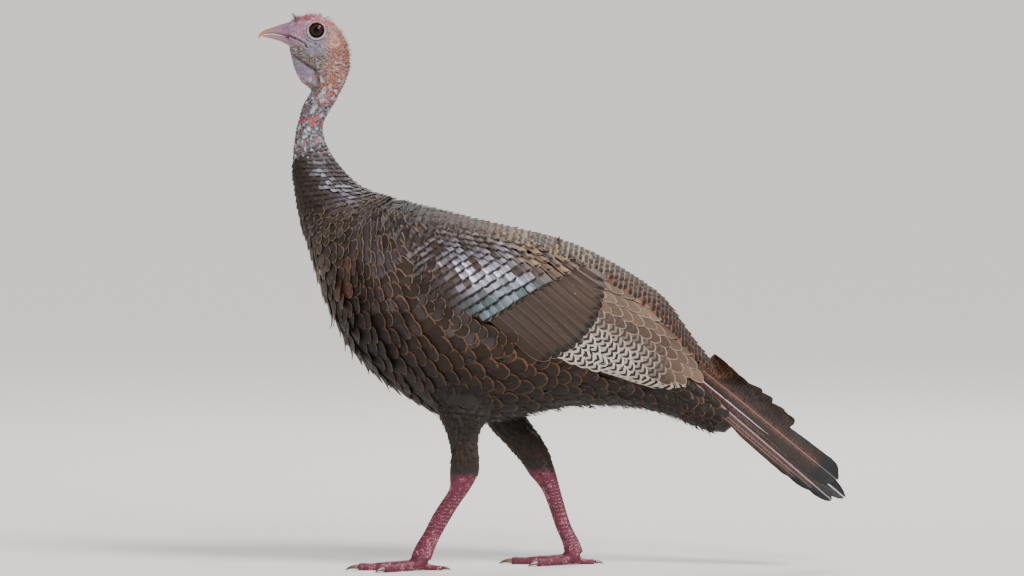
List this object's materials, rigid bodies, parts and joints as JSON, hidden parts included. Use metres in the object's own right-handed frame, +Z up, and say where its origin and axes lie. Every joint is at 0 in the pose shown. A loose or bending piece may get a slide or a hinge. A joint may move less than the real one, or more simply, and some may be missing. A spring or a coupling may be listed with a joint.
{
  "type": "hen wild turkey",
  "caption": "Life-size still model of a hen wild turkey walking: bare head up, dark body with pale-edged feathers, barred folded wings, low closed tail, pink legs in mid stride.",
  "frame": {"origin": "on the floor, under the middle of the bird's bounding box", "axes": "+Z up; the bird faces -X with its tail towards +X; its left side is -Y, its right side +Y"},
  "size_m": [0.715, 0.2128, 0.6661],
  "materials": {
    "plumage": "overlapping dark brown body feathers with thin tan edges",
    "wing_feather": "silver-lilac coverts, a bronze-brown patch, then pale scalloped and barred flight feathers",
    "tail_feather": "dark vermiculated feathers with pale shafts and buff tips",
    "head_skin": "bare wrinkled skin, blue-lilac face and red-brown crown and nape",
    "leg_scale": "crimson-pink horny scutes",
    "beak": "horn, pink at the base and yellowish at the tip",
    "claw": "dark brown horn",
    "eye": "wet dark brown eyeball"
  },
  "bodies": {
    "root": {"head": "head_skin", "neck_upper": "head_skin", "neck_lower": "plumage", "trunk": "plumage", "snood": "head_skin", "beak_upper": "beak", "beak_lower": "beak", "eye_left": "eye", "eye_right": "eye", "wing_left": "wing_feather", "wing_right": "wing_feather", "tail": "tail_feather", "thigh_left": "plumage", "thigh_right": "plumage", "shank_left": "leg_scale", "shank_right": "leg_scale", "foot_left": "leg_scale", "foot_right": "leg_scale", "claw_inner_left": "claw", "claw_middle_left": "claw", "claw_outer_left": "claw", "claw_hind_left": "claw", "claw_inner_right": "claw", "claw_middle_right": "claw", "claw_outer_right": "claw", "claw_hind_right": "claw"}
  },
  "joints": []
}
